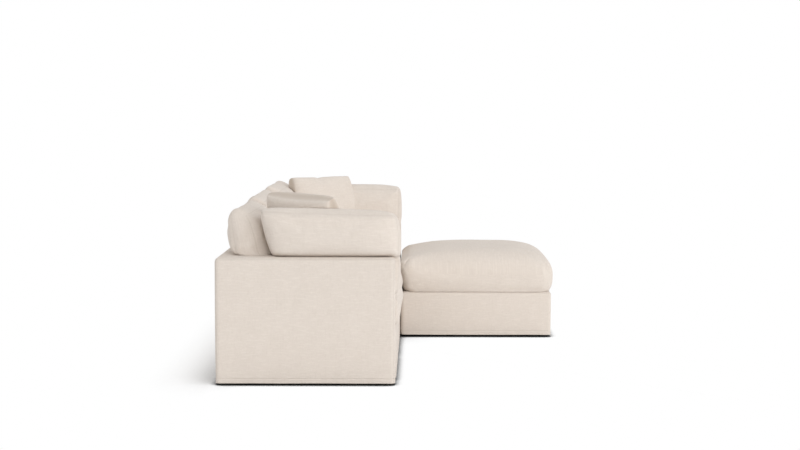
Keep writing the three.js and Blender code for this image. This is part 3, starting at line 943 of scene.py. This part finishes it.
for number, name in enumerate(module_names):
    side = side_of[name]
    origin, half_width, depth, deck = module_frame(name)
    foot = deck + 2 * contact + seat_boxing
    form = SimpleNamespace(
        foot=foot, top=back_top, ledge=panel_top, ledge_round=back_ledge_round,
        squareness=back_squareness, outer_squareness=back_squareness[1],
        inner_crown=back_front_crown, inner_lean=back_lean["front"] - back_upright[name],
        outer_crown=back_rear_crown, outer_lean=back_lean["rear"] - back_upright[name],
        outer_reach=back_rear_reach, end_reach=1.0,
        top_swell=back_top_swell[name], top_tilt=0.0,
        start_swell=back_end_swell if side < 0 else back_slim_end,
        stop_swell=back_end_swell if side > 0 else back_slim_end,
    )

    def behind_seat(points, origin=origin, depth=depth):
        along, up, out = points.T
        return np.stack([along, depth - out, up], -1) + origin

    def on_seat_and_panel(points, name=name):
        return off_cushion(off_panels(points), f"{name}_seat_cushion_case")

    low = (-half_width + contact, foot, 0.0)
    high = (half_width - contact, back_top, back_boxing)
    cushion(f"{name}_back_cushion", low, high, back_radii, [(2, 0.0), (2, back_boxing)],
            leaning_shape(form), behind_seat, f"{name}_back", back_seed + number,
            on_seat_and_panel, panel_top)


# Side cushions: shorter cases that stand on the seat against the side panels and lean out over
# them. Their rear ends lie along the slope of the back cushions.
side_top = 0.898
side_radii = (0.022, 0.036, 0.045)
side_inner_crown = 0.034
side_outer_crown = 0.012
side_outer_squareness = 3.0
side_outer_reach = 0.108
side_ledge_round = 0.018
side_top_swell = 0.009
side_top_tilt = {"left": 0.009, "right": 0.002}
side_lean = {"inner": 0.060, "outer": 0.045}
side_end_reach = 0.6
side_front_reach = {"left": 0.024, "right": -0.0035}
side_squareness = (5.0, 3.4)
side_rear_gap = -0.023
side_rear_slope = 0.133
side_seed = 60

for number, name in enumerate(("left", "right")):
    side = side_of[name]
    origin, half_width, depth, deck = module_frame(name)
    foot = deck + 2 * contact + seat_boxing
    rear = depth - back_boxing - back_front_crown - side_rear_gap
    form = SimpleNamespace(
        foot=foot, top=side_top, ledge=panel_top, ledge_round=side_ledge_round,
        squareness=side_squareness, outer_squareness=side_outer_squareness,
        inner_crown=side_inner_crown, inner_lean=side_lean["inner"],
        outer_crown=side_outer_crown, outer_lean=side_lean["outer"],
        outer_reach=side_outer_reach, end_reach=side_end_reach,
        top_swell=side_top_swell, top_tilt=side_top_tilt[name],
        start_swell=side_front_reach[name], stop_swell=0.0,
    )

    def beside_seat(points, origin=origin, side=side, half_width=half_width, rear=rear, foot=foot):
        along, up, out = points.T
        slope = side_rear_slope * (up - foot) / (back_top - foot)
        sloped = along + np.maximum(along, 0.0) / rear * slope
        return np.stack([side * (half_width - out), sloped, up], -1) + origin

    def on_seat_and_side(points, name=name):
        points = off_cushion(off_panels(points), f"{name}_seat_cushion_case")
        return off_cushion(points, f"{name}_back_cushion_case")

    cushion(f"{name}_side_cushion", (0.0, foot, 0.0), (rear, side_top, side_boxing), side_radii,
            [(2, 0.0), (2, side_boxing)], leaning_shape(form), beside_seat, f"{name}_side",
            side_seed + number, on_seat_and_side, panel_top)


# Ottoman cushion: a deep, full case that stands a little over its base on three sides and lies
# against the seat cushion behind it. Its top panel domes over and down the sides to one seam that
# runs round just above the base.
ottoman_overhang = 0.024
ottoman_rear_reach = 0.0055
ottoman_widest = 0.105
ottoman_height = 0.257
ottoman_rear_rise = 0.071
ottoman_rise_power = 3
ottoman_squareness = {"ends": 5.0, "front": 3.6, "rear": 3.0}
ottoman_fullness = {"ends": 0.36, "front": 0.36, "rear": 0.42}
ottoman_tuck = 0.031
ottoman_wall_squareness = 2.6
ottoman_seam = 0.030
ottoman_corners = {"front": 0.085, "rear": 0.075}
ottoman_cells = 62
ottoman_wall_cells = 12
ottoman_seed = 70

base_low, base_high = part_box("ottoman_base_cover")
bottom = base_high.z + contact
low = np.array([base_low.x, base_low.y, bottom]) - (ottoman_overhang, ottoman_overhang, 0.0)
high = np.array([base_high.x + ottoman_overhang, base_high.y + ottoman_rear_reach,
                 bottom + ottoman_widest])
fan = np.sin(np.linspace(-math.pi / 2, math.pi / 2, ottoman_cells + 1))
lines = [(low[a] + high[a]) / 2 + (high[a] - low[a]) / 2 * fan for a in (0, 1)]
lines.append(np.linspace(low[2], high[2], ottoman_wall_cells + 1))
points, quads, _, cloth, sewn = skin(lines, [(2, bottom + ottoman_seam)])
u, v = ((2 * points[:, a] - low[a] - high[a]) / (high[a] - low[a]) for a in (0, 1))
front_dome, rear_dome = (
    full(v, ottoman_squareness[end], ottoman_fullness[end]) for end in ("front", "rear")
)
dome = np.where(v < 0, front_dome, rear_dome)
dome = dome * full(u, ottoman_squareness["ends"], ottoman_fullness["ends"])
wall = ottoman_widest + ottoman_rear_rise * np.maximum(0.0, v) ** ottoman_rise_power
level = (points[:, 2] - low[2]) / ottoman_widest
on_top = points[:, 2] >= high[2] - 1e-9
height = low[2] + level * wall + np.where(on_top, (ottoman_height - wall) * dome, 0.0)
corner = np.where(v < 0, ottoman_corners["front"], ottoman_corners["rear"])[:, None]
plan = softened(points[:, :2], low[:2], high[:2], corner)
tuck = ottoman_tuck * (1.0 - full(1.0 - level, ottoman_wall_squareness))
middle = (low + high)[:2] / 2
half = (high - low)[:2] / 2
plan = middle + (plan - middle) * (1.0 - tuck[:, None] / half)


def on_base(points, low=low, high=high):
    """Kept above the base and in front of the sofa."""
    x, y, z = points.T
    return np.column_stack([x, np.minimum(y, high[1]), np.maximum(z, low[2])])


filled_case("ottoman_cushion_case", "ottoman_cushion", np.column_stack([plan, height]), quads,
            cloth, sewn, cushion_linen, "ottoman_top", ottoman_seed, on_base)


# Throw pillows: two squares of the same linen sewn round their edge with no band between them,
# filled with feather. Each stands on an edge in its corner of the sofa, turned to face into the
# seat and leaning back. Their corners are blunt, and the right one has a small dent in its top.
pillow_size = 0.470
pillow_thickness = 0.200
pillow_welt = 0.005
pillow_draw = 0.004
pillow_blunting = 0.022
pillow_corner_power = 4
pillow_fullness = {"front": 0.23, "back": 0.24}
pillow_cells = 44
pillow_places = {
    "left": {"out": 0.210, "forward": 0.325, "up": 0.307, "yaw": 40, "tilt": 22, "roll": 2},
    "right": {"out": 0.190, "forward": 0.287, "up": 0.303, "yaw": 39, "tilt": 17, "roll": 0},
}
pillow_sag = {"left": 0.0, "right": 0.06}
pillow_dent = {"left": 0.0, "right": 0.010}
dent_place = -0.14
dent_width = 0.07
dent_power = 6
# How dark the pillow seams are painted, with the shade and dust of their grooves.
pillow_seam_shade_and_dust = 0.80
pillow_seed = 80
pillow_linen = new_linen("pillow_linen", pillow_seam_shade_and_dust)


def rotated(a, b, angle):
    """Two coordinates after a turn by that angle in their plane."""
    return a * math.cos(angle) - b * math.sin(angle), a * math.sin(angle) + b * math.cos(angle)


for number, name in enumerate(("left", "right")):
    side = side_of[name]
    origin, half_width, depth, deck = module_frame(name)
    place = SimpleNamespace(**pillow_places[name])
    half = pillow_size / 2
    line = -np.cos(np.linspace(0.0, math.pi, pillow_cells + 1)) * half
    lines = [line, line, np.array([-pillow_welt / 2, pillow_welt / 2])]
    points, quads, _, cloth, sewn = skin(lines, [(2, lines[2][0]), (2, lines[2][1])])
    u, v = points[:, 0] / half, points[:, 1] / half
    fullness = np.where(points[:, 2] > 0, pillow_fullness["front"], pillow_fullness["back"])
    swell = (pillow_thickness / 2 - pillow_welt) * (hump(u) * hump(v)) ** fullness
    thick = np.sign(points[:, 2]) * (pillow_welt / 2 + swell)
    blunt = 1.0 - pillow_blunting * (u * v) ** pillow_corner_power
    sagged = 1.0 + pillow_sag[name] * (1.0 - v) / 2
    width = points[:, 0] * blunt * sagged - pillow_draw * u * hump(v)
    dent = np.exp(-((u - dent_place) / dent_width) ** 2) * np.maximum(0.0, v) ** dent_power
    up = points[:, 1] * blunt - pillow_draw * v * hump(u) - pillow_dent[name] * dent
    width, up = rotated(width, up, math.radians(place.roll))
    y, z = rotated(-thick, up, -math.radians(place.tilt))
    x, y = rotated(width, y, side * math.radians(place.yaw - 90))
    centre = origin + (side * (half_width - place.out), depth - place.forward,
                       deck + contact + seat_boxing + place.up)

    def off_neighbours(points, name=name):
        for neighbour in ("seat", "side", "back"):
            points = off_cushion(points, f"{name}_{neighbour}_cushion_case")
        return points

    filled_case(f"{name}_throw_pillow_case", f"{name}_throw_pillow",
                np.stack([x, y, z], -1) + centre, quads, cloth, sewn, pillow_linen,
                f"{name}_pillow", pillow_seed + number, off_neighbours)
